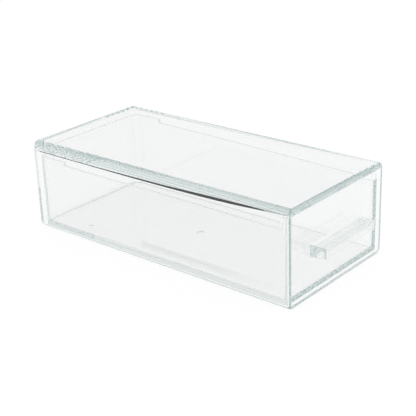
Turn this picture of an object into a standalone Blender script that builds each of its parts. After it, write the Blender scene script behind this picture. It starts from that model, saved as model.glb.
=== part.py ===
"""Clear moulded storage drawer unit: a sleeve, the drawer tray that slides in it, and a bar handle.

Units are metres and +Z is up. The drawer opens towards -Y. The origin is the middle of the
sleeve's footprint, on the surface that the unit stands on.
"""
import math

import bmesh
import bpy
from mathutils import Vector

# Sleeve, a one-piece moulding that is open at the front
SLEEVE_WIDTH = 0.150
SLEEVE_DEPTH = 0.318
SLEEVE_HEIGHT = 0.094
SLEEVE_SIDE_WALL = 0.004
SLEEVE_BACK_WALL = 0.004
SLEEVE_FLOOR = 0.004
SLEEVE_TOP_AT_MOUTH = 0.0063
SLEEVE_TOP_AT_BACK = 0.0106
CEILING_TAPER_LENGTH = 0.199
SLEEVE_CORNER_RADIUS = 0.0075
SLEEVE_EDGE_RADIUS = 0.007
MOUTH_EDGE_RADIUS = 0.003
SLEEVE_INNER_RADIUS = 0.001

# Drawer tray, one moulding with a taller front panel and a taller rear section
FRONT_RECESS = 0.0036
FRONT_PANEL = 0.0032
TRAY_WALL = 0.0035
TRAY_FLOOR = 0.0035
TRAY_CORNER_RADIUS = 0.002
TRAY_EDGE_RADIUS = 0.0015
TRAY_INNER_RADIUS = 0.001
PANEL_HEIGHT = 0.0809
SIDE_WALL_HEIGHT = 0.0712
REAR_SECTION_LENGTH = 0.0375
PANEL_RETURN_LENGTH = 0.003
STEP_RADIUS = 0.001

# Running clearances between the tray and the sleeve
SIDE_CLEARANCE = 0.0008
FLOOR_CLEARANCE = 0.0003
BACK_CLEARANCE = 0.0015
REAR_RIM_CLEARANCE = 0.0005

# Bar handle, bonded across the front panel
HANDLE_LENGTH = 0.079
HANDLE_REACH = 0.0168
HANDLE_THICKNESS = 0.0118
HANDLE_UNDERSIDE = 0.0341
HANDLE_EDGE_RADIUS = 0.0008
HANDLE_GAP = 0.0003
HANDLE_TAPER = 0.002
GROOVE_START = 0.0058
GROOVE_LIP = 0.003
GROOVE_DEPTH = 0.0080
GROOVE_END_WALL = 0.0025

# Smoothness of the round stretches
CORNER_STEPS = 6
EDGE_STEPS = 5
ARC_STEPS = 8
SMOOTH_ANGLE = math.radians(35)

# Worked out from the sizes above
MOUTH_Y = -SLEEVE_DEPTH / 2
BACK_Y = SLEEVE_DEPTH / 2
PANEL_Y = MOUTH_Y + FRONT_RECESS
TRAY_BACK_Y = BACK_Y - SLEEVE_BACK_WALL - BACK_CLEARANCE
TRAY_HALF_WIDTH = SLEEVE_WIDTH / 2 - SLEEVE_SIDE_WALL - SIDE_CLEARANCE
TRAY_BASE_Z = SLEEVE_FLOOR + FLOOR_CLEARANCE
REAR_RIM_Z = SLEEVE_HEIGHT - SLEEVE_TOP_AT_BACK - REAR_RIM_CLEARANCE


def clear_scene():
    for item in list(bpy.data.objects):
        bpy.data.objects.remove(item)


def clear_plastic(name, tint):
    """A see-through moulded plastic with the given tint."""
    material = bpy.data.materials.new(name)
    material.use_nodes = True
    shader = material.node_tree.nodes["Principled BSDF"]
    shader.inputs["Base Color"].default_value = (*tint, 1.0)
    shader.inputs["Roughness"].default_value = 0.03
    shader.inputs["Metallic"].default_value = 0.0
    shader.inputs["IOR"].default_value = 1.5
    shader.inputs["Transmission Weight"].default_value = 1.0
    return material


def rounded_rectangle(low_a, high_a, low_b, high_b, radius, steps=CORNER_STEPS):
    """The outline of a rectangle with round corners, anticlockwise, as pairs of numbers."""
    centres = (
        (high_a - radius, high_b - radius),
        (low_a + radius, high_b - radius),
        (low_a + radius, low_b + radius),
        (high_a - radius, low_b + radius),
    )
    outline = []
    for corner, (a, b) in enumerate(centres):
        for step in range(steps + 1):
            angle = math.pi / 2 * (corner + step / steps)
            outline.append((a + radius * math.cos(angle), b + radius * math.sin(angle)))
    return outline


def shaded(mesh):
    mesh.shade_smooth()
    mesh.set_sharp_from_angle(angle=SMOOTH_ANGLE)


def skin(name, rings, material):
    """One closed body through rings of equally many points, capped at the first and the last."""
    shell = bmesh.new()
    loops = [[shell.verts.new(point) for point in ring] for ring in rings]
    for near, far in zip(loops, loops[1:]):
        for index in range(len(near)):
            after = (index + 1) % len(near)
            shell.faces.new((near[index], near[after], far[after], far[index]))
    shell.faces.new(loops[0])
    shell.faces.new(loops[-1])
    bmesh.ops.recalc_face_normals(shell, faces=shell.faces)
    mesh = bpy.data.meshes.new(name)
    shell.to_mesh(mesh)
    shell.free()
    shaded(mesh)
    body = bpy.data.objects.new(name, mesh)
    bpy.context.scene.collection.objects.link(body)
    if material:
        mesh.materials.append(material)
    return body


def bar(name, outline, low_x, high_x, material=None):
    """An outline of (y, z) pairs drawn out along X."""
    rings = [[Vector((x, y, z)) for y, z in outline] for x in (low_x, high_x)]
    return skin(name, rings, material)


def cut(body, cutter):
    """Takes the cutter's shape out of the body."""
    cutter.hide_render = True
    cutter.display_type = 'WIRE'
    cutter.parent = body.parent
    boolean = body.modifiers.new(cutter.name, 'BOOLEAN')
    boolean.operation = 'DIFFERENCE'
    boolean.solver = 'EXACT'
    boolean.object = cutter


def sleeve_ring(y, inset, radius):
    """The sleeve's outer outline at one depth, drawn in by an inset."""
    half = SLEEVE_WIDTH / 2 - inset
    outline = rounded_rectangle(-half, half, inset, SLEEVE_HEIGHT - inset, radius)
    return [Vector((x, y, z)) for x, z in outline]


def cavity_ring(y, top):
    """The outline of the space inside the sleeve at one depth, under a top of one thickness."""
    half = SLEEVE_WIDTH / 2 - SLEEVE_SIDE_WALL
    outline = rounded_rectangle(-half, half, SLEEVE_FLOOR, SLEEVE_HEIGHT - top, SLEEVE_INNER_RADIUS)
    return [Vector((x, y, z)) for x, z in outline]


def make_sleeve():
    """Outer skin from the back to the mouth, then the cavity's skin back to its blind end."""
    rings = []
    for step in range(EDGE_STEPS + 1):
        angle = math.pi / 2 * step / EDGE_STEPS
        inset = SLEEVE_EDGE_RADIUS * (1 - math.sin(angle))
        y = BACK_Y - SLEEVE_EDGE_RADIUS * (1 - math.cos(angle))
        rings.append(sleeve_ring(y, inset, SLEEVE_CORNER_RADIUS - inset))
    for step in range(EDGE_STEPS + 1):
        angle = math.pi / 2 * step / EDGE_STEPS
        inset = MOUTH_EDGE_RADIUS * (1 - math.cos(angle))
        y = MOUTH_Y + MOUTH_EDGE_RADIUS * (1 - math.sin(angle))
        rings.append(sleeve_ring(y, inset, SLEEVE_CORNER_RADIUS - inset))
    rings.append(cavity_ring(MOUTH_Y, SLEEVE_TOP_AT_MOUTH))
    rings.append(cavity_ring(MOUTH_Y + CEILING_TAPER_LENGTH, SLEEVE_TOP_AT_BACK))
    rings.append(cavity_ring(BACK_Y - SLEEVE_BACK_WALL, SLEEVE_TOP_AT_BACK))
    return skin("sleeve", rings, clear_plastic("sleeve_plastic", (0.80, 0.88, 0.87)))


def tray_ring(z, half, front, back, radius):
    """The tray's outline in plan at one height."""
    return [Vector((x, y, z)) for x, y in rounded_rectangle(-half, half, front, back, radius)]


def make_tray(slide):
    """A box with round lower edges, hollowed from above, and its side walls cut down."""
    panel_z = TRAY_BASE_Z + PANEL_HEIGHT
    rings = []
    for step in range(EDGE_STEPS + 1):
        angle = math.pi / 2 * step / EDGE_STEPS
        inset = TRAY_EDGE_RADIUS * (1 - math.sin(angle))
        z = TRAY_BASE_Z + TRAY_EDGE_RADIUS * (1 - math.cos(angle))
        rings.append(tray_ring(z, TRAY_HALF_WIDTH - inset, PANEL_Y + inset,
                               TRAY_BACK_Y - inset, TRAY_CORNER_RADIUS - inset))
    rings.append(tray_ring(panel_z, TRAY_HALF_WIDTH, PANEL_Y, TRAY_BACK_Y, TRAY_CORNER_RADIUS))
    inner_half = TRAY_HALF_WIDTH - TRAY_WALL
    inner_front = PANEL_Y + FRONT_PANEL
    inner_back = TRAY_BACK_Y - TRAY_WALL
    for z in (panel_z, TRAY_BASE_Z + TRAY_FLOOR):
        rings.append(tray_ring(z, inner_half, inner_front, inner_back, TRAY_INNER_RADIUS))
    tray = skin("drawer_tray", rings, clear_plastic("tray_plastic", (0.86, 0.91, 0.90)))
    tray.parent = slide

    above = SLEEVE_HEIGHT + TRAY_WALL
    beyond = SLEEVE_WIDTH
    rear_start = TRAY_BACK_Y - REAR_SECTION_LENGTH
    rear = rounded_rectangle(rear_start - TRAY_WALL, BACK_Y, REAR_RIM_Z, above, STEP_RADIUS)
    cut(tray, bar("rear_rim_cutter", rear, -beyond, beyond))
    side = rounded_rectangle(inner_front + PANEL_RETURN_LENGTH, rear_start,
                             TRAY_BASE_Z + SIDE_WALL_HEIGHT, above, STEP_RADIUS)
    cut(tray, bar("side_rim_cutter", side, -beyond, beyond))
    return tray


def handle_outline():
    """Section of the bar: a flat top, and an underside that rises towards the front face."""
    rear = PANEL_Y - HANDLE_GAP
    front = rear - HANDLE_REACH
    low = TRAY_BASE_Z + HANDLE_UNDERSIDE
    high = low + HANDLE_THICKNESS
    return [(rear, high), (rear, low), (front, low + HANDLE_TAPER), (front, high)]


def groove_outline():
    """Section of the finger groove under the bar: a sloping back that arches up to the lip."""
    rear = PANEL_Y - HANDLE_GAP - GROOVE_START
    front = PANEL_Y - HANDLE_GAP - HANDLE_REACH + GROOVE_LIP
    low = TRAY_BASE_Z + HANDLE_UNDERSIDE
    outline = [(front, low - HANDLE_THICKNESS), (rear, low - HANDLE_THICKNESS)]
    for step in range(ARC_STEPS + 1):
        angle = math.pi / 2 * step / ARC_STEPS
        outline.append((front + (rear - front) * math.cos(angle), low + GROOVE_DEPTH * math.sin(angle)))
    return outline


def make_handle(slide):
    half = HANDLE_LENGTH / 2
    handle = bar("bar_handle", handle_outline(), -half, half,
                 clear_plastic("handle_plastic", (0.86, 0.90, 0.88)))
    handle.parent = slide
    bevel = handle.modifiers.new("soft_edges", 'BEVEL')
    bevel.width = HANDLE_EDGE_RADIUS
    bevel.segments = 3
    bevel.limit_method = 'ANGLE'
    bevel.angle_limit = SMOOTH_ANGLE
    groove_half = half - GROOVE_END_WALL
    cut(handle, bar("groove_cutter", groove_outline(), -groove_half, groove_half))
    return handle


def make_slide():
    """The empty that carries everything that slides, on the drawer's line of travel."""
    slide = bpy.data.objects.new("drawer_slide", None)
    slide.location = (0.0, PANEL_Y, TRAY_BASE_Z)
    bpy.context.scene.collection.objects.link(slide)
    return slide


def main():
    clear_scene()
    make_sleeve()
    slide = make_slide()
    make_tray(slide)
    make_handle(slide)
    bpy.context.view_layer.update()
    for item in bpy.data.objects:
        if item.parent:
            item.matrix_parent_inverse = slide.matrix_world.inverted()


main()
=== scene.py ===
# %% [markdown]
# # A clear storage drawer unit
#
# The object is a narrow storage unit of clear moulded plastic: a sleeve that is open at the
# front, a drawer tray that slides in it, and a thick bar handle across the tray's front panel.
# Nothing on it is coloured or printed. All that we see is light that has been bent, mirrored and
# slightly tinted by three clear solids, so the lesson is about two things: how to model a clear
# moulding with real wall thicknesses, and how to light it.
#
# We start by loading the construction model. It fixes where every piece is. Each piece below is
# a finer skin for one of its parts, made to the same sizes, in metres.

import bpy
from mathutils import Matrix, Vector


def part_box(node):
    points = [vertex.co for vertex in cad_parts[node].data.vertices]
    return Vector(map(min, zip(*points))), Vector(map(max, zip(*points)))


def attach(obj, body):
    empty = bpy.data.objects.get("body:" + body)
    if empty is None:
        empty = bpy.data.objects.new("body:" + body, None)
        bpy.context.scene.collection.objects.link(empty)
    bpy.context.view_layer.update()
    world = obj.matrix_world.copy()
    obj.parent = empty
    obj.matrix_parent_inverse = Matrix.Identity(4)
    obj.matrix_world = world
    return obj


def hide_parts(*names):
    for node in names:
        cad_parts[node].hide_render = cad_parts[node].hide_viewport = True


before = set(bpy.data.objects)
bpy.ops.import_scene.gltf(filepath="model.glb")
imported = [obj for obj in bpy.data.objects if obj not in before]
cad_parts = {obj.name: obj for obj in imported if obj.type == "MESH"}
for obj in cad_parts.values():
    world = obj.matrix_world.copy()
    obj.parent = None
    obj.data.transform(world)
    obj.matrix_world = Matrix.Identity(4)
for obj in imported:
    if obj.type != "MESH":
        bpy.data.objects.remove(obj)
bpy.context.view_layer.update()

# %% Blender's modules
import math

import bmesh
import bpy
from mathutils import Matrix, Vector

MM = 0.001
print("Blender", bpy.app.version_string)

# %% [markdown]
# ## The camera
#
# The photograph looks down on the unit from its front left. A camera is easiest to place by the
# angles it looks from: start at a point in the middle of the object, step back along the line of
# sight, and roll the picture a little. The focal length is written in pixels of the picture,
# because that is how it was measured, and Blender wants it in millimetres of its sensor.

# %% Place the camera
IMAGE_WIDTH = 416
FOCAL_PIXELS = 1043.5
SENSOR = 36
CAMERA_AZIMUTH = math.radians(-49.39)
CAMERA_ELEVATION = math.radians(22.69)
CAMERA_ROLL = math.radians(-2.01)
CAMERA_DISTANCE = 1.0246
AIM = Vector((0, 0, 0.047))
AIM_SHIFT = (0.0061, -0.0126)


def place_camera():
    across, up = math.cos(CAMERA_ELEVATION), math.sin(CAMERA_ELEVATION)
    back = Vector((math.sin(CAMERA_AZIMUTH) * across, -math.cos(CAMERA_AZIMUTH) * across, up))
    level_right = Vector((math.cos(CAMERA_AZIMUTH), math.sin(CAMERA_AZIMUTH), 0))
    level_up = back.cross(level_right)
    right = math.cos(CAMERA_ROLL) * level_right + math.sin(CAMERA_ROLL) * level_up
    upright = math.cos(CAMERA_ROLL) * level_up - math.sin(CAMERA_ROLL) * level_right
    data = bpy.data.cameras.new("camera")
    data.sensor_width = SENSOR
    data.lens = FOCAL_PIXELS / IMAGE_WIDTH * SENSOR
    camera = bpy.data.objects.new("camera", data)
    bpy.context.scene.collection.objects.link(camera)
    place = Matrix((right, upright, back)).transposed().to_4x4()
    place.translation = AIM + back * CAMERA_DISTANCE + right * AIM_SHIFT[0] + upright * AIM_SHIFT[1]
    camera.matrix_world = place
    bpy.context.scene.camera = camera
    return camera


camera = place_camera()
print("camera at", [round(c, 3) for c in camera.matrix_world.translation])

# %% [markdown]
# ## Two helpers for moulded shapes
#
# A clear moulding has no plain box corners. Every edge is round, and in clear plastic each round
# edge works as a lens, so it shows as a bright or dark line. We therefore need smooth rounds with
# many steps, and flats that stay perfectly flat in the shading.
#
# Both pieces with walls are made by one method, a loft. We draw a ring of points, draw the next
# ring a little further on, and so walk over the outside, over the rim, and down the inside. The
# skin between the rings is one closed body with a real wall. For the shading, the Weighted Normal
# modifier lets the big flat faces decide the normals where a flat meets a round.

# %% Helpers: quarter turns, lofts, shading
ROUND_STEPS = 12
SHARP_ANGLE = math.radians(35)
FLAT_WEIGHT = 100


def quarter(start=0.0):
    """The angles of a quarter turn, in even steps."""
    return [start + math.pi / 2 * step / ROUND_STEPS for step in range(ROUND_STEPS + 1)]


def loft(name, rings):
    """One closed body through rings of equally many points, capped at both ends."""
    shell = bmesh.new()
    loops = [[shell.verts.new(point) for point in ring] for ring in rings]
    for near, far in zip(loops, loops[1:]):
        for index in range(len(near)):
            after = (index + 1) % len(near)
            shell.faces.new((near[index], near[after], far[after], far[index]))
    shell.faces.new(loops[0])
    shell.faces.new(loops[-1])
    bmesh.ops.recalc_face_normals(shell, faces=shell.faces)
    mesh = bpy.data.meshes.new(name)
    shell.to_mesh(mesh)
    shell.free()
    piece = bpy.data.objects.new(name, mesh)
    bpy.context.scene.collection.objects.link(piece)
    return piece


def cut(piece, cutter):
    """Takes the cutter's shape out of the piece, and removes the cutter."""
    boolean = piece.modifiers.new("cut", 'BOOLEAN')
    boolean.object = cutter
    boolean.solver = 'EXACT'
    graph = bpy.context.evaluated_depsgraph_get()
    carved = bpy.data.meshes.new_from_object(piece.evaluated_get(graph))
    piece.modifiers.clear()
    piece.data = carved
    bpy.data.objects.remove(cutter)


def shade(piece):
    """Smooth rounds, crisp edges past the sharp angle, and truly flat flats."""
    piece.data.shade_smooth()
    piece.data.set_sharp_from_angle(angle=SHARP_ANGLE)
    weighted = piece.modifiers.new("flat_flats", 'WEIGHTED_NORMAL')
    weighted.weight = FLAT_WEIGHT
    weighted.keep_sharp = True
    print(piece.name, "has", len(piece.data.polygons), "faces")


# %% [markdown]
# ## The sleeve
#
# The sleeve is one moulding: a floor, two sides, a closed back and a thick top. The top thickens
# from the mouth towards the back in a gentle bow. We can't see that directly, but a thin black
# line along the near wall shows it. It runs where the ceiling meets the wall, in
# a small hollow round with a flat facet in it. Inside clear plastic that facet is a mirror, tilted
# so that it throws one dark patch of the studio at us. The wider the facet, the thicker the line,
# so the line also tells us that the facet is widest in the front half. Towards the mouth we look
# at it through the round outer corner, which bends our view down, and so it lies flatter there.
#
# The loft starts on the outside of the back, comes forward to the mouth, turns inwards, and goes
# back again along the inside to the blind end. Every ring has the same number of points. The facet
# needs none of its own: it is the gap that opens between two points of the round when we slide
# the rest of the round along.

# %% Sleeve: sizes
sleeve_low, sleeve_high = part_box("sleeve")
MOUTH_Y, BACK_Y = sleeve_low.y, sleeve_high.y
SLEEVE_TOP_Z = sleeve_high.z
SLEEVE_HALF = sleeve_high.x
SIDE_WALL = 4 * MM
BACK_WALL = 4 * MM
SLEEVE_FLOOR = 4 * MM
TOP_AT_MOUTH = 5.8 * MM
TOP_AT_BACK = 10.1 * MM
BOW_START_Y = 110 * MM
CEILING_STEPS = 48
CEILING_ROUND = 1.5 * MM
FACET_AFTER = 7
FACET_TILT_AT_BACK = math.radians(55)
FACET_TILT_AT_MOUTH = math.radians(63)
FACET_TURN_Y = -45 * MM
FACET_AT_ENDS = 0.5 * MM
FACET_WIDEST = 2.15 * MM
FACET_WIDEST_Y = -58 * MM
FACET_BACK_Y = 110 * MM
OUTER_CORNER = 7.5 * MM
OUTER_EDGE = 4.5 * MM
MOUTH_EDGE = 3 * MM
MOUTH_INNER_EDGE = 0.4 * MM
FLOOR_CORNER = 1 * MM
BLIND_END_EDGE = 0.8 * MM
print("sleeve depth:", round((BACK_Y - MOUTH_Y) / MM, 1), "mm, top at the back:", round(TOP_AT_BACK / MM, 1))


def outline(half, low, high, upper, lower, facet=0.0, tilt=0.0):
    """A rectangle with round corners, the upper ones with a facet in them, as pairs of numbers."""
    along, down = facet * math.sin(tilt), facet * math.cos(tilt)
    upper_right = []
    for step, angle in enumerate(quarter()):
        slid = step > FACET_AFTER
        upper_right.append((half - upper + upper * math.cos(angle) - along * slid,
                            high - upper + upper * math.sin(angle) - down * (not slid)))
    lower_right = []
    for angle in quarter(-math.pi / 2):
        lower_right.append((half - lower + lower * math.cos(angle), low + lower + lower * math.sin(angle)))
    right = lower_right + upper_right
    return right + [(-a, b) for a, b in reversed(right)]


# %% Sleeve: rings
def outer_ring(y, inset):
    radius = OUTER_CORNER - inset
    points = outline(SLEEVE_HALF - inset, inset, SLEEVE_TOP_Z - inset, radius, radius)
    return [Vector((x, y, z)) for x, z in points]


def top_thickness(y):
    """Level at the back, and from the start of the bow ever thinner towards the mouth."""
    way = max(0.0, (BOW_START_Y - y) / (BOW_START_Y - MOUTH_Y))
    return TOP_AT_BACK - (TOP_AT_BACK - TOP_AT_MOUTH) * way * way


def facet_width(y):
    """The facet under the ceiling, eased from its widest place to both ends."""
    reach = FACET_WIDEST_Y - MOUTH_Y if y < FACET_WIDEST_Y else FACET_BACK_Y - FACET_WIDEST_Y
    way = min(1.0, abs(y - FACET_WIDEST_Y) / reach)
    return FACET_AT_ENDS + (FACET_WIDEST - FACET_AT_ENDS) * (1 + math.cos(math.pi * way)) / 2


def facet_tilt(y):
    """The facet lies flatter towards the mouth, where we see it through the outer corner's round."""
    way = max(0.0, (FACET_TURN_Y - y) / (FACET_TURN_Y - MOUTH_Y))
    return FACET_TILT_AT_BACK + (FACET_TILT_AT_MOUTH - FACET_TILT_AT_BACK) * way


def inner_ring(y, inset):
    ceiling = SLEEVE_TOP_Z - top_thickness(y)
    points = outline(SLEEVE_HALF - SIDE_WALL - inset, SLEEVE_FLOOR + inset, ceiling - inset,
                     CEILING_ROUND - inset, FLOOR_CORNER - inset, facet_width(y), facet_tilt(y))
    return [Vector((x, y, z)) for x, z in points]


def make_sleeve():
    rings = []
    for angle in quarter():
        rings.append(outer_ring(BACK_Y - OUTER_EDGE * (1 - math.cos(angle)),
                                OUTER_EDGE * (1 - math.sin(angle))))
    for angle in quarter():
        rings.append(outer_ring(MOUTH_Y + MOUTH_EDGE * (1 - math.sin(angle)),
                                MOUTH_EDGE * (1 - math.cos(angle))))
    for angle in quarter():
        rings.append(inner_ring(MOUTH_Y + MOUTH_INNER_EDGE * (1 - math.cos(angle)),
                                -MOUTH_INNER_EDGE * (1 - math.sin(angle))))
    end = BACK_Y - BACK_WALL
    for step in range(1, CEILING_STEPS):
        rings.append(inner_ring(MOUTH_Y + (end - MOUTH_Y) * step / CEILING_STEPS, 0.0))
    for angle in quarter():
        rings.append(inner_ring(end - BLIND_END_EDGE * (1 - math.sin(angle)),
                                BLIND_END_EDGE * (1 - math.cos(angle))))
    return loft("sleeve_skin", rings)


sleeve = make_sleeve()
shade(sleeve)

# %% [markdown]
# ## The drawer tray
#
# The tray is a thin-walled box. Its front panel stands taller than the sides, and behind y = 116 mm
# the side walls step up again. Rather than cutting those steps out of a box, the loft follows them:
# every point of the outline in plan has a place on the rim, with a height and a direction that
# points out of the plastic. The top of the wall is rounded over by moving in from the wall and down
# against that direction at the same time, so the round follows the steps too. It is a very small
# round, because the photograph shows no bright or dark line along the rim. The two corners at the
# back are much rounder than the ones at the front panel.

# %% Tray: sizes
tray_low, tray_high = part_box("drawer_tray")
TRAY_HALF = tray_high.x
PANEL_Y, TRAY_BACK_Y = tray_low.y, tray_high.y
TRAY_BASE_Z, PANEL_TOP_Z = tray_low.z, tray_high.z
PANEL = 4.2 * MM
TRAY_WALL = 3.5 * MM
TRAY_FLOOR = 3.5 * MM
SIDE_RIM_Z = TRAY_BASE_Z + 70 * MM
REAR_RIM_Z = TRAY_BASE_Z + 73.7 * MM
REAR_SECTION = 37.5 * MM
PANEL_RETURN = 3 * MM
STEP_ROUND = 1 * MM
TRAY_CORNER = 1 * MM
TRAY_BACK_EXTRA = 6 * MM
TRAY_INNER_CORNER = 1.6 * MM
TRAY_BASE_EDGE = 0.9 * MM
TRAY_FLOOR_EDGE = 2.5 * MM
TRAY_LEAST_ROUND = 0.2 * MM
RIM_ROUND = 0.04 * MM
print("tray rims:", round(SIDE_RIM_Z / MM, 1), "and", round(REAR_RIM_Z / MM, 1), "mm above the table")


# %% Tray: the rim from the front panel to the back, seen from the side
def rim_places():
    """(y, z, and the direction out of the plastic) along the rim, from the front to the back."""
    front, rear = PANEL_Y + PANEL + PANEL_RETURN, TRAY_BACK_Y - REAR_SECTION
    r = STEP_ROUND
    places = []
    for angle in reversed(quarter()):
        c, s = math.cos(angle), math.sin(angle)
        places.append((front - r + r * c, PANEL_TOP_Z - r + r * s, c, s))
    for angle in quarter():
        c, s = math.cos(angle), math.sin(angle)
        places.append((front + r - r * c, SIDE_RIM_Z + r - r * s, c, s))
    for angle in reversed(quarter()):
        c, s = math.cos(angle), math.sin(angle)
        places.append((rear - r + r * c, SIDE_RIM_Z + r - r * s, -c, s))
    for angle in quarter():
        c, s = math.cos(angle), math.sin(angle)
        places.append((rear + r - r * c, REAR_RIM_Z - r + r * s, -c, s))
    return places


RIM = rim_places()
FRONT_RIM = (PANEL_Y, PANEL_TOP_Z, 0.0, 1.0)
BACK_RIM = (TRAY_BACK_Y, REAR_RIM_Z, 0.0, 1.0)
print("rim places along one side:", len(RIM))


# %% Tray: rings
def tray_plan(side, front, back, radius):
    """The tray's outline in plan, drawn in by three insets. Each point comes with its rim place."""
    half, near, far = TRAY_HALF - side, PANEL_Y + front, TRAY_BACK_Y - back
    wide = radius + TRAY_BACK_EXTRA
    points = [(half, place[0], place) for place in RIM]
    centres = ((half - wide, far - wide, wide, BACK_RIM), (wide - half, far - wide, wide, BACK_RIM),
               (radius - half, near + radius, radius, FRONT_RIM),
               (half - radius, near + radius, radius, FRONT_RIM))
    for corner, (x, y, turn, place) in enumerate(centres):
        if corner == 2:
            points += [(-half, there[0], there) for there in reversed(RIM)]
        for angle in quarter(corner * math.pi / 2):
            points.append((x + turn * math.cos(angle), y + turn * math.sin(angle), place))
    return points


def level_ring(z, side, front, back, radius):
    return [Vector((x, y, z)) for x, y, _ in tray_plan(side, front, back, radius)]


def rim_ring(drop, side, front, back, radius):
    """A ring that lies under the rim by the drop, all the way along it."""
    ring = []
    for x, y, place in tray_plan(side, front, back, radius):
        ring.append(Vector((x, y - place[2] * drop, place[1] - place[3] * drop)))
    return ring


def make_tray():
    rings = []
    for angle in quarter():
        inset = TRAY_BASE_EDGE * (1 - math.sin(angle))
        rings.append(level_ring(TRAY_BASE_Z + TRAY_BASE_EDGE * (1 - math.cos(angle)),
                                inset, inset, inset, TRAY_CORNER - inset))
    for angle in quarter():
        inset = RIM_ROUND * (1 - math.cos(angle))
        rings.append(rim_ring(RIM_ROUND * (1 - math.sin(angle)), inset, inset, inset,
                              TRAY_CORNER - inset))
    for angle in reversed(quarter()):
        back_off = RIM_ROUND * (1 - math.cos(angle))
        rings.append(rim_ring(RIM_ROUND * (1 - math.sin(angle)), TRAY_WALL - back_off,
                              PANEL - back_off, TRAY_WALL - back_off,
                              TRAY_INNER_CORNER + back_off))
    for angle in quarter():
        inset = TRAY_FLOOR_EDGE * (1 - math.cos(angle))
        rings.append(level_ring(TRAY_BASE_Z + TRAY_FLOOR + TRAY_FLOOR_EDGE * (1 - math.sin(angle)),
                                TRAY_WALL + inset, PANEL + inset, TRAY_WALL + inset,
                                max(TRAY_LEAST_ROUND, TRAY_INNER_CORNER - inset)))
    return loft("tray_skin", rings)


tray = make_tray()

# %% [markdown]
# ## The moulder's marks in the tray floor
#
# In the middle of the tray floor is the shallow dish where the plastic was injected, and towards
# the back on the left is a smaller one, left by a pin that pushed the moulding out. A dish in clear
# plastic works as a lens, and so it shows as a grey crescent. Each is cut with a lens-shaped disc.

# %% Tray: the marks
GATE_PLACE = (0.0, 0.0)
GATE_RADIUS = 4.5 * MM
GATE_DEPTH = 0.6 * MM
PIN_PLACE = (-52 * MM, 102 * MM)
PIN_RADIUS = 2.5 * MM
PIN_DEPTH = 0.4 * MM
DISH_SIDES = 48


def dish_cutter(place, radius, depth):
    """A lens-shaped disc that dips into the floor by the depth."""
    floor_z = TRAY_BASE_Z + TRAY_FLOOR
    rings = []
    for angle in quarter()[1:]:
        reach, z = radius * math.sin(angle), floor_z - depth * math.cos(angle)
        turns = [2 * math.pi * side / DISH_SIDES for side in range(DISH_SIDES)]
        rings.append([Vector((place[0] + reach * math.cos(t), place[1] + reach * math.sin(t), z))
                      for t in turns])
    rings.append([point + Vector((0, 0, depth)) for point in rings[-1]])
    return loft("dish_cutter", rings)


cut(tray, dish_cutter(GATE_PLACE, GATE_RADIUS, GATE_DEPTH))
cut(tray, dish_cutter(PIN_PLACE, PIN_RADIUS, PIN_DEPTH))
shade(tray)

# %% [markdown]
# ## The bar handle
#
# The handle is a thick bar with a flat top, bonded to the front panel, with a groove under it that
# the fingertips curl into. Seen through the bar's clear end, the groove is a dark arc. The bar's
# section is a polygon with round corners. The ends are rounded too, by drawing the section in.

# %% Handle: sizes
bar_low, bar_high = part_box("bar_handle")
BAR_HALF = bar_high.x
BAR_GAP = 0.05 * MM
BAR_REAR_Y, BAR_FRONT_Y = PANEL_Y - BAR_GAP, bar_low.y
BAR_LOW_Z, BAR_HIGH_Z = bar_low.z, bar_high.z
BAR_TAPER = 2 * MM
BAR_EDGE = 0.8 * MM
BAR_END_EDGE = 0.6 * MM
GROOVE_START = 6.1 * MM
GROOVE_LIP = 3 * MM
GROOVE_DEPTH = 8 * MM
GROOVE_END_WALL = 2.5 * MM
print("bar:", round(2 * BAR_HALF / MM, 1), "mm long, groove", round(GROOVE_DEPTH / MM, 1), "mm high")


def rounded(corners, radius, inset):
    """A polygon with round corners, drawn in by the inset. The corners run anticlockwise."""
    points = []
    for index, corner in enumerate(corners):
        into = Vector(corner) - Vector(corners[index - 1])
        out = Vector(corners[(index + 1) % len(corners)]) - Vector(corner)
        turn = (math.atan2(out.y, out.x) - math.atan2(into.y, into.x)) % (2 * math.pi)
        first = math.atan2(into.x, -into.y)
        middle = first + turn / 2
        centre = Vector(corner) + Vector((math.cos(middle), math.sin(middle))) * radius / math.cos(turn / 2)
        for step in range(ROUND_STEPS + 1):
            angle = first + turn * step / ROUND_STEPS
            points.append(centre - Vector((math.cos(angle), math.sin(angle))) * (radius - inset))
    return points


# %% Handle: the bar and its groove
def make_bar():
    corners = [(BAR_REAR_Y, BAR_HIGH_Z), (BAR_FRONT_Y, BAR_HIGH_Z),
               (BAR_FRONT_Y, BAR_LOW_Z + BAR_TAPER), (BAR_REAR_Y, BAR_LOW_Z)]
    stations = [(-1, angle) for angle in quarter()] + [(1, angle) for angle in reversed(quarter())]
    rings = []
    for side, angle in stations:
        x = side * (BAR_HALF - BAR_END_EDGE * (1 - math.cos(angle)))
        section = rounded(corners, BAR_EDGE, BAR_END_EDGE * (1 - math.sin(angle)))
        rings.append([Vector((x, y, z)) for y, z in section])
    return loft("bar_skin", rings)


def groove_cutter():
    rear, front = PANEL_Y - GROOVE_START, BAR_FRONT_Y + GROOVE_LIP
    below = BAR_LOW_Z - GROOVE_DEPTH
    section = [(front, below), (rear, below)]
    for angle in quarter():
        section.append((front + (rear - front) * math.cos(angle),
                        BAR_LOW_Z + GROOVE_DEPTH * math.sin(angle)))
    half = BAR_HALF - GROOVE_END_WALL
    return loft("groove_cutter", [[Vector((x, y, z)) for y, z in section] for x in (-half, half)])


bar = make_bar()
cut(bar, groove_cutter())
shade(bar)

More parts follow.
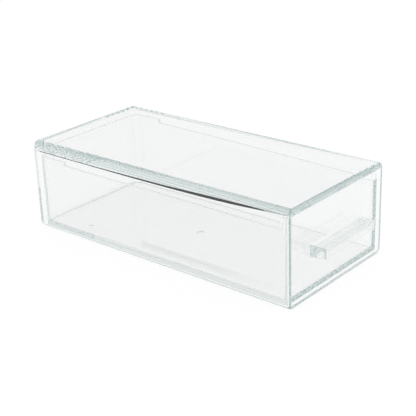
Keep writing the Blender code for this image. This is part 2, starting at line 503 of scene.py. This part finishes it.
# %% [markdown]
# ## The clear plastic
#
# Clear plastic bends light by its refractive index, and swallows a little of it, more red than
# green, along the way. A thin wall shows almost none of that, and an edge that we look along for
# many centimetres is plainly green. So the colour doesn't go on the surface: it is a Volume
# Absorption inside the solid. The surface only keeps back a trace of light, the same of every
# colour. It has the faint waviness of a moulding that has cooled, from a large soft noise in the
# bump, and a gloss that varies a little.

# %% The clear plastic
PLASTIC_INDEX = 1.5
PLASTIC_CLEAR = (0.979, 0.981, 0.98, 1.0)
PLASTIC_TINT = (0.4, 0.57, 0.56, 1.0)
PLASTIC_ROUGHEST = 0.012
print("plastic index:", PLASTIC_INDEX)


def clear_plastic(name, wave_size, wave_height, density):
    material = bpy.data.materials.new(name)
    material.use_nodes = True
    nodes, links = material.node_tree.nodes, material.node_tree.links
    shader = nodes["Principled BSDF"]
    shader.inputs["Base Color"].default_value = PLASTIC_CLEAR
    shader.inputs["IOR"].default_value = PLASTIC_INDEX
    shader.inputs["Transmission Weight"].default_value = 1.0
    place = nodes.new("ShaderNodeTexCoord")
    waves = nodes.new("ShaderNodeTexNoise")
    waves.inputs["Scale"].default_value = 1 / wave_size
    waves.inputs["Detail"].default_value = 1.0
    bump = nodes.new("ShaderNodeBump")
    bump.inputs["Distance"].default_value = wave_height
    gloss = nodes.new("ShaderNodeMapRange")
    gloss.inputs["To Min"].default_value = 0.0
    gloss.inputs["To Max"].default_value = PLASTIC_ROUGHEST
    links.new(place.outputs["Object"], waves.inputs["Vector"])
    links.new(waves.outputs["Fac"], bump.inputs["Height"])
    links.new(waves.outputs["Fac"], gloss.inputs["Value"])
    links.new(bump.outputs["Normal"], shader.inputs["Normal"])
    links.new(gloss.outputs["Result"], shader.inputs["Roughness"])
    absorption = nodes.new("ShaderNodeVolumeAbsorption")
    absorption.inputs["Color"].default_value = PLASTIC_TINT
    absorption.inputs["Density"].default_value = density
    links.new(absorption.outputs["Volume"], nodes["Material Output"].inputs["Volume"])
    return material


# %% [markdown]
# ## Dress the model
#
# Each skin stands for the construction model's node of the same shape, rides on the body that the
# node belongs to, and takes its own material slot. The bar is a thick lump of the plastic without
# long walls, so it needs more colour than the walls to look as green as the photograph shows it.

# %% Dress the model
WAVE_HEIGHT = 0.004 * MM
BAR_WAVE_HEIGHT = WAVE_HEIGHT / 2
SLEEVE_WAVES, TRAY_WAVES, BAR_WAVES = 60 * MM, 50 * MM, 30 * MM
WALL_DENSITY = 1.7
BAR_DENSITY = 6.0


def dress(piece, body, node, material):
    piece.data.materials.clear()
    piece.data.materials.append(material)
    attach(piece, body)
    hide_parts(node)
    print(piece.name, "rides on", body, "for", node)


dress(sleeve, "sleeve", "sleeve",
      clear_plastic("sleeve_plastic", SLEEVE_WAVES, WAVE_HEIGHT, WALL_DENSITY))
dress(tray, "drawer", "drawer_tray",
      clear_plastic("tray_plastic", TRAY_WAVES, WAVE_HEIGHT, WALL_DENSITY))
dress(bar, "drawer", "bar_handle",
      clear_plastic("handle_plastic", BAR_WAVES, BAR_WAVE_HEIGHT, BAR_DENSITY))

# %% [markdown]
# ## The table and the studio
#
# The unit stands on a white table in a pale room. A clear object shows its surroundings far more
# than itself, and we see the table in three ways: straight, mirrored and through the plastic. All
# three have to be the same white. The Light Path node tells a material which kind of ray is asking,
# and for those three kinds the table glows. A small part of its white still comes from the room's
# light, so that the object keeps a soft shadow.
#
# For the same rays the room is a pale grey, with one small dark patch high up behind the unit. That
# patch is what the facet under the ceiling mirrors as the black line. It has to be small, because
# the far edges show other parts of the room, and they should stay pale. For all other rays the room
# is plain even light.

# %% The table
TABLE_RADIUS = 12.0
TABLE_GAP = 0.3 * MM
TABLE_BASE = 0.14
TABLE_GLOW = 0.94
TABLE_SIDES = 64


def seen_ray(nodes, links):
    """1 for the rays that show a picture of things: straight, mirrored or through something clear."""
    path = nodes.new("ShaderNodeLightPath")
    seen = path.outputs["Is Camera Ray"]
    for kind in ("Is Glossy Ray", "Is Transmission Ray"):
        either = nodes.new("ShaderNodeMath")
        either.operation = 'MAXIMUM'
        links.new(seen, either.inputs[0])
        links.new(path.outputs[kind], either.inputs[1])
        seen = either.outputs["Value"]
    return seen


def make_table():
    disc = bmesh.new()
    bmesh.ops.create_circle(disc, cap_ends=True, segments=TABLE_SIDES, radius=TABLE_RADIUS)
    bmesh.ops.translate(disc, verts=disc.verts, vec=(0, 0, -TABLE_GAP))
    mesh = bpy.data.meshes.new("table")
    disc.to_mesh(mesh)
    disc.free()
    table = bpy.data.objects.new("table", mesh)
    bpy.context.scene.collection.objects.link(table)
    material = bpy.data.materials.new("table_white")
    material.use_nodes = True
    nodes, links = material.node_tree.nodes, material.node_tree.links
    shader = nodes["Principled BSDF"]
    shader.inputs["Base Color"].default_value = (TABLE_BASE, TABLE_BASE, TABLE_BASE, 1)
    shader.inputs["Roughness"].default_value = 1.0
    shader.inputs["Specular IOR Level"].default_value = 0.0
    shader.inputs["Emission Color"].default_value = (1, 1, 1, 1)
    glow = nodes.new("ShaderNodeMath")
    glow.operation = 'MULTIPLY'
    glow.inputs[1].default_value = TABLE_GLOW
    links.new(seen_ray(nodes, links), glow.inputs[0])
    links.new(glow.outputs["Value"], shader.inputs["Emission Strength"])
    mesh.materials.append(material)


make_table()
print("table", 2 * TABLE_RADIUS, "m across")

# %% The room
ROOM_LIGHT = 0.5
ROOM_SEEN = 0.9
DARK_AZIMUTH = math.radians(161.5)
DARK_ELEVATION = math.radians(46)
DARK_REACH = (math.radians(10.7), math.radians(7.7))


def make_room():
    """Even light from all around. What shows in the plastic is pale, with one dark patch."""
    room = bpy.data.worlds.new("room")
    bpy.context.scene.world = room
    room.use_nodes = True
    nodes, links = room.node_tree.nodes, room.node_tree.links
    sky = nodes["Background"]
    sky.inputs["Color"].default_value = (1, 1, 1, 1)
    place = nodes.new("ShaderNodeTexCoord")
    towards_dark = nodes.new("ShaderNodeVectorMath")
    towards_dark.operation = 'DOT_PRODUCT'
    level = math.cos(DARK_ELEVATION)
    towards_dark.inputs[1].default_value = (math.sin(DARK_AZIMUTH) * level,
                                            -math.cos(DARK_AZIMUTH) * level,
                                            math.sin(DARK_ELEVATION))
    links.new(place.outputs["Generated"], towards_dark.inputs[0])
    seen = nodes.new("ShaderNodeMapRange")
    seen.interpolation_type = 'SMOOTHSTEP'
    seen.inputs["From Min"].default_value = math.cos(DARK_REACH[0])
    seen.inputs["From Max"].default_value = math.cos(DARK_REACH[1])
    seen.inputs["To Min"].default_value = ROOM_SEEN
    seen.inputs["To Max"].default_value = 0.0
    links.new(towards_dark.outputs["Value"], seen.inputs["Value"])
    choice = nodes.new("ShaderNodeMix")
    choice.inputs["A"].default_value = ROOM_LIGHT
    links.new(seen_ray(nodes, links), choice.inputs["Factor"])
    links.new(seen.outputs["Result"], choice.inputs["B"])
    links.new(choice.outputs["Result"], sky.inputs["Strength"])


make_room()
print("room: dark patch", round(math.degrees(DARK_ELEVATION)), "degrees up")

# %% [markdown]
# ## How far light is followed
#
# Light can cross eight or more surfaces before it leaves this unit, and it is mirrored inside the
# thick edges many times over. If it is given up too early, those edges turn black. So the number
# of bounces is high, for glass and for mirroring alike.

# %% Bounces and colours
BOUNCES = 256
cycles = bpy.context.scene.cycles
cycles.max_bounces = BOUNCES
cycles.transmission_bounces = BOUNCES
cycles.glossy_bounces = BOUNCES
print("light is followed for", cycles.max_bounces, "bounces")
bpy.context.scene.view_settings.view_transform = 'Standard'
